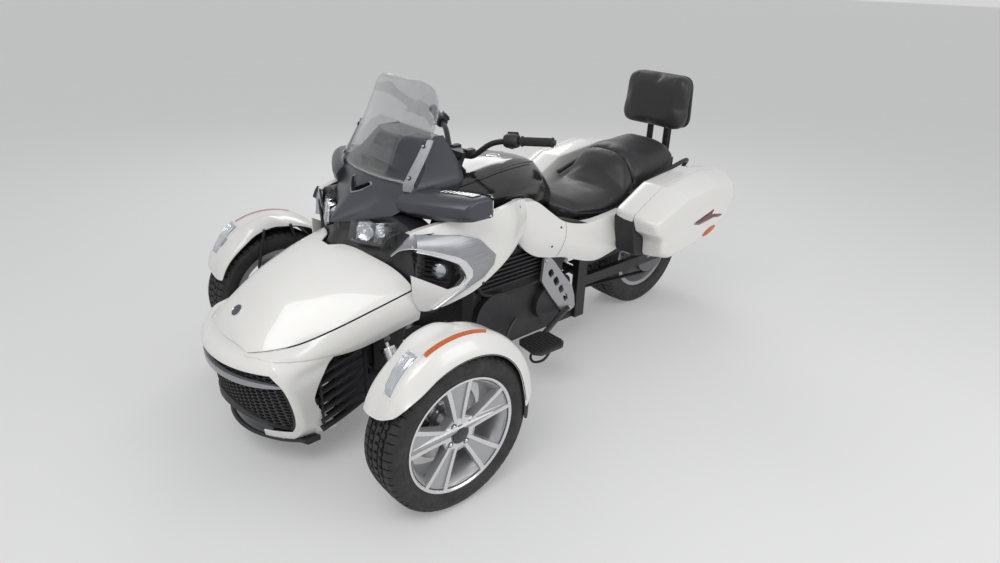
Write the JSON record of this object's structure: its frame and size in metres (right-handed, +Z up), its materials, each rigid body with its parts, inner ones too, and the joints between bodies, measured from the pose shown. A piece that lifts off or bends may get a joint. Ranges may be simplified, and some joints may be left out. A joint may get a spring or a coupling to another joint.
{
  "type": "three-wheeled roadster motorcycle",
  "caption": "Motorized trike with steered front wheels under cycle fenders, a belt-driven rear wheel, handlebar, tandem seat, saddlebags and a front luggage lid.",
  "frame": {"origin": "on the ground below the middle of the bounding box", "axes": "+X to the rider's left, -Y forwards, +Z up"},
  "size_m": [1.497, 2.634, 1.276],
  "materials": {
    "white_paint": "gloss pearl",
    "dark_cowl": "satin",
    "black_plastic": "matte",
    "silver_panel": "satin",
    "black_frame": "satin",
    "engine_metal": "cast",
    "wheel_alloy": "machined",
    "tyre_rubber": "moulded",
    "soft_rubber": "matte",
    "seat_vinyl": "grained",
    "clear_screen": "clear",
    "lamp_glass": "clear",
    "amber_lens": "gloss",
    "mirror_face": "polished",
    "shock_steel": "satin",
    "exhaust_steel": "brushed",
    "plate_blank": "semi gloss"
  },
  "bodies": {
    "chassis": {"chassis_frame": "black_frame", "front_subframe": "black_frame", "seat_frame": "black_frame", "wishbones": "black_frame", "shock_absorbers": "shock_steel", "engine_block": "engine_metal", "nose_fascia": "white_paint", "front_grilles": "black_plastic", "grille_strip": "silver_panel", "front_lip": "black_plastic", "front_compartment": "white_paint", "side_radiators": "black_plastic", "upper_cowl": "dark_cowl", "headlamp_housing": "dark_cowl", "headlamps": "lamp_glass", "windshield": "clear_screen", "screen_brackets": "dark_cowl", "mirror_pods": "dark_cowl", "mirror_glass": "mirror_face", "side_panels": "white_paint", "louvre_panels": "silver_panel", "tank_cover": "dark_cowl", "rear_side_panels": "white_paint", "rider_seat": "seat_vinyl", "passenger_seat": "seat_vinyl", "backrest_pad": "seat_vinyl", "grab_rails": "black_frame", "dash_display": "dark_cowl", "saddlebag_tubs": "white_paint", "rear_mudguard": "black_plastic", "blank_plate": "plate_blank", "tail_lamp": "black_plastic", "swingarm": "black_frame", "drive_belt": "soft_rubber", "foot_brackets": "silver_panel", "footboards": "black_frame", "muffler": "exhaust_steel"},
    "steering": {"handlebar": "black_frame", "grips": "soft_rubber", "switch_pods": "black_plastic"},
    "knuckle_left": {"knuckle_left": "black_frame", "fender_left": "white_paint", "fender_lamps_left": "amber_lens"},
    "knuckle_right": {"knuckle_right": "black_frame", "fender_right": "white_paint", "fender_lamps_right": "amber_lens"},
    "wheel_left": {"tyre_left": "tyre_rubber", "rim_left": "wheel_alloy"},
    "wheel_right": {"tyre_right": "tyre_rubber", "rim_right": "wheel_alloy"},
    "wheel_rear": {"tyre_rear": "tyre_rubber", "rim_rear": "wheel_alloy", "belt_pulley": "engine_metal"},
    "rack": {"steering_rack": "black_frame"},
    "lid": {"front_lid": "white_paint"},
    "bag_lid_left": {"saddlebag_lid_left": "white_paint"},
    "bag_lid_right": {"saddlebag_lid_right": "white_paint"}
  },
  "joints": [
    {"name": "steering_turn", "type": "hinge", "parent": "chassis", "child": "steering", "pos_m": [0, -0.308, 0.822], "axis": [0, 0.4226, 0.9063], "range_deg": [-32, 32]},
    {"name": "knuckle_left_turn", "type": "hinge", "parent": "chassis", "child": "knuckle_left", "pos_m": [0.59, -0.8, 0.28125], "axis": [0, 0, 1], "range_deg": [-28, 28]},
    {"name": "knuckle_right_turn", "type": "hinge", "parent": "chassis", "child": "knuckle_right", "pos_m": [-0.59, -0.8, 0.28125], "axis": [0, 0, 1], "range_deg": [-28, 28]},
    {"name": "rack_slide", "type": "slide", "parent": "chassis", "child": "rack", "axis": [1, 0, 0], "range_m": [-0.055, 0.055]},
    {"name": "wheel_left_spin", "type": "hinge", "parent": "knuckle_left", "child": "wheel_left", "pos_m": [0.654, -0.8, 0.28125], "axis": [1, 0, 0], "continuous": true},
    {"name": "wheel_right_spin", "type": "hinge", "parent": "knuckle_right", "child": "wheel_right", "pos_m": [-0.654, -0.8, 0.28125], "axis": [1, 0, 0], "continuous": true},
    {"name": "wheel_rear_spin", "type": "hinge", "parent": "chassis", "child": "wheel_rear", "pos_m": [0, 0.909, 0.303], "axis": [1, 0, 0], "continuous": true},
    {"name": "front_lid_hinge", "type": "hinge", "parent": "chassis", "child": "lid", "pos_m": [0, -1.259, 0.468], "axis": [1, 0, 0], "range_deg": [0, 65]},
    {"name": "bag_lid_left_hinge", "type": "hinge", "parent": "chassis", "child": "bag_lid_left", "pos_m": [0.389, 0.68, 0.448], "axis": [0, 1, 0], "range_deg": [0, 60]},
    {"name": "bag_lid_right_hinge", "type": "hinge", "parent": "chassis", "child": "bag_lid_right", "pos_m": [-0.389, 0.68, 0.448], "axis": [0, -1, 0], "range_deg": [0, 60]}
  ],
  "couplings": [
    {"joint": "knuckle_left_turn", "follows": "steering_turn", "ratio": 0.85},
    {"joint": "knuckle_right_turn", "follows": "steering_turn", "ratio": 0.85},
    {"joint": "rack_slide", "follows": "steering_turn", "m_per_rad": -0.0915}
  ]
}
